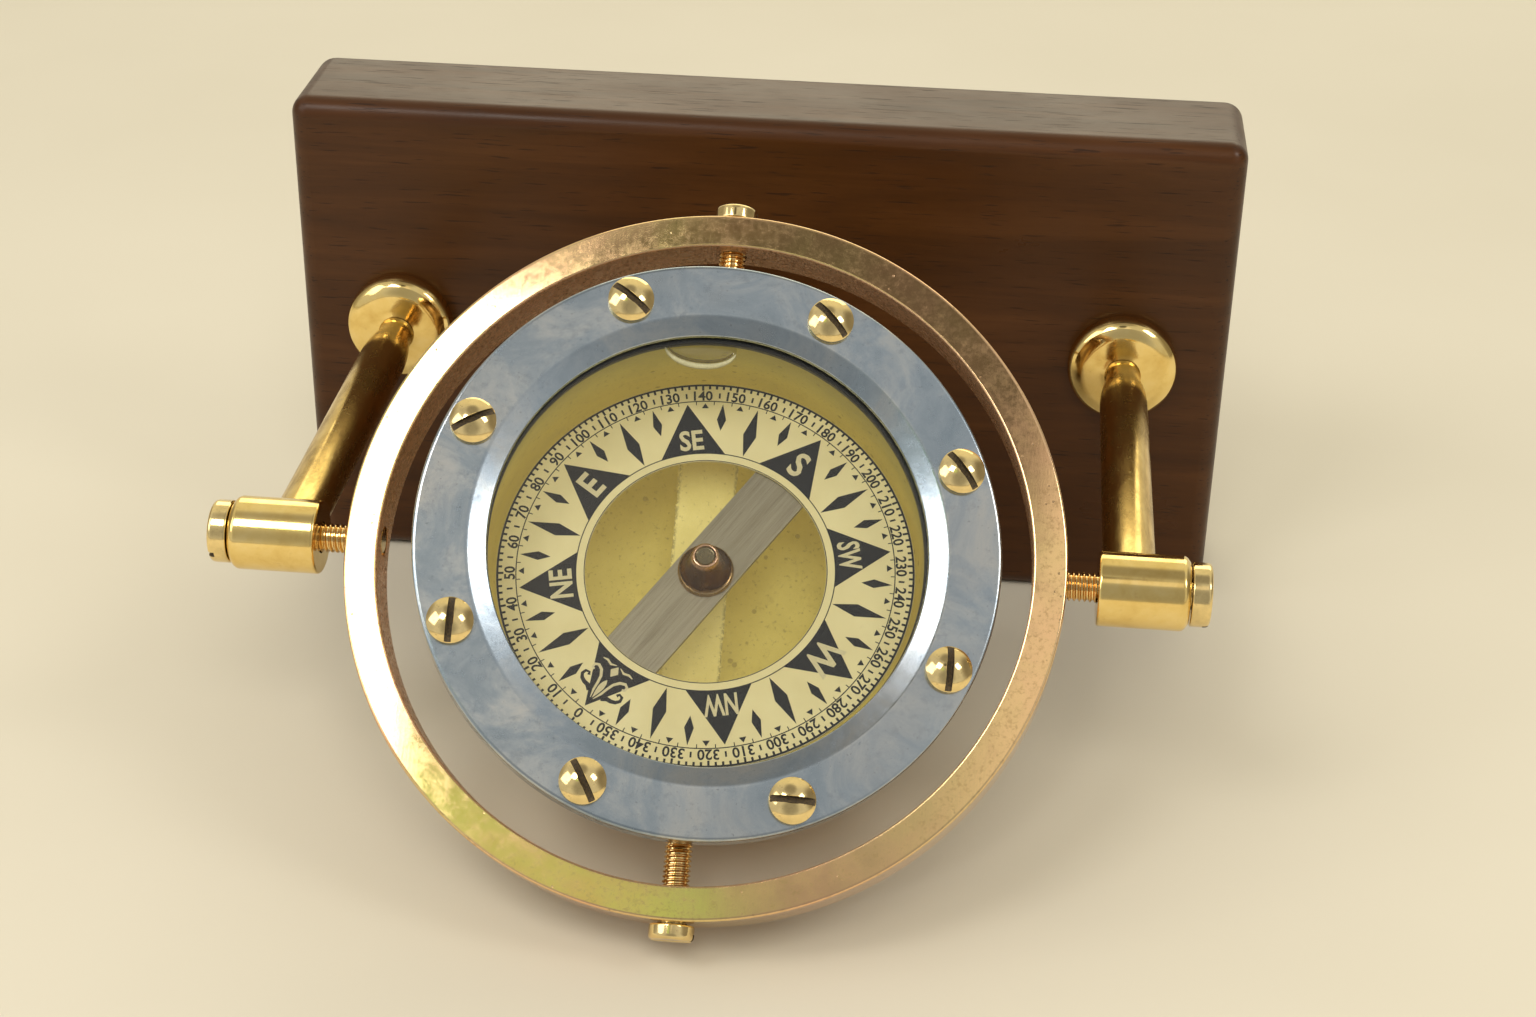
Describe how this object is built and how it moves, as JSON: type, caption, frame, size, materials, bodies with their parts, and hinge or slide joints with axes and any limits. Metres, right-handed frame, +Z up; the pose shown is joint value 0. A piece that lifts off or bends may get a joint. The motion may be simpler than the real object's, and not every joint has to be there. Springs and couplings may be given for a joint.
{
  "type": "gimballed liquid compass",
  "caption": "Liquid-filled marine compass with a domed-bottom bowl in a gimbal ring, held on brass arms from a rounded wooden board.",
  "frame": {"origin": "centre of the board's long edge face, which it stands on", "axes": "+X to the right seen from the compass side, +Y out of the board's back, +Z up"},
  "size_m": [0.229, 0.1999, 0.125],
  "materials": {
    "mahogany": "dark varnish, worn satin",
    "polished_brass": "polished",
    "worn_bronze": "worn bronze, scratched and patchy",
    "bright_steel": "brushed",
    "grey_nickel": "grey nickel plate, worn",
    "clear_glass": "clear",
    "black_rubber": "matte",
    "olive_yellow_paint": "old olive-yellow paint",
    "cream_card": "printed, yellowed",
    "cap_copper": "copper coloured, tarnished",
    "jewel": "polished"
  },
  "bodies": {
    "base": {"arm_nut_left": "polished_brass", "arm_nut_right": "polished_brass", "arm_rod_left": "polished_brass", "arm_rod_right": "polished_brass", "arm_washer_left": "polished_brass", "arm_washer_right": "polished_brass", "base_board": "mahogany", "pivot_head_left": "polished_brass", "pivot_head_right": "polished_brass", "rosette_left": "polished_brass", "rosette_right": "polished_brass"},
    "ring": {"bowl_screw_bottom": "polished_brass", "bowl_screw_top": "polished_brass", "gimbal_ring": "worn_bronze", "gimbal_screw_left": "polished_brass", "gimbal_screw_right": "polished_brass"},
    "bowl": {"bezel": "grey_nickel", "bezel_screw_1": "polished_brass", "bezel_screw_2": "polished_brass", "bezel_screw_3": "polished_brass", "bezel_screw_4": "polished_brass", "bezel_screw_5": "polished_brass", "bezel_screw_6": "polished_brass", "bezel_screw_7": "polished_brass", "bezel_screw_8": "polished_brass", "bottom_cover": "worn_bronze", "bowl": "worn_bronze", "bridge_screw_1": "polished_brass", "bridge_screw_2": "polished_brass", "cover_screw_1": "polished_brass", "cover_screw_2": "polished_brass", "cover_screw_3": "polished_brass", "cover_screw_4": "polished_brass", "cover_screw_5": "polished_brass", "cover_screw_6": "polished_brass", "expansion_diaphragm": "polished_brass", "filler_plug": "polished_brass", "filler_washer": "black_rubber", "gasket": "black_rubber", "glass": "clear_glass", "pivot_bridge": "olive_yellow_paint", "pivot_needle": "bright_steel", "pivot_post": "polished_brass"},
    "jewel": {"cap_jewel": "jewel"},
    "card": {"compass_card": "cream_card", "magnet_bar": "bright_steel", "card_cap": "cap_copper"}
  },
  "joints": [
    {"name": "ring_tilt", "type": "hinge", "parent": "base", "child": "ring", "pos_m": [0, -0.1245, 0.0655], "axis": [1, 0, 0], "range_deg": [-101, 10]},
    {"name": "bowl_tilt", "type": "hinge", "parent": "ring", "child": "bowl", "pos_m": [0, -0.1245, 0.0655], "axis": [0, 0.6997, 0.7145], "continuous": true},
    {"name": "card_tilt", "type": "hinge", "parent": "bowl", "child": "jewel", "pos_m": [0.00024, -0.12563, 0.06661], "axis": [-0.8808, -0.4139, -0.2301], "range_deg": [-23, 0.3]},
    {"name": "card_spin", "type": "hinge", "parent": "jewel", "child": "card", "pos_m": [0.00024, -0.12563, 0.06661], "axis": [0.0579, -0.5763, 0.8152], "continuous": true}
  ]
}
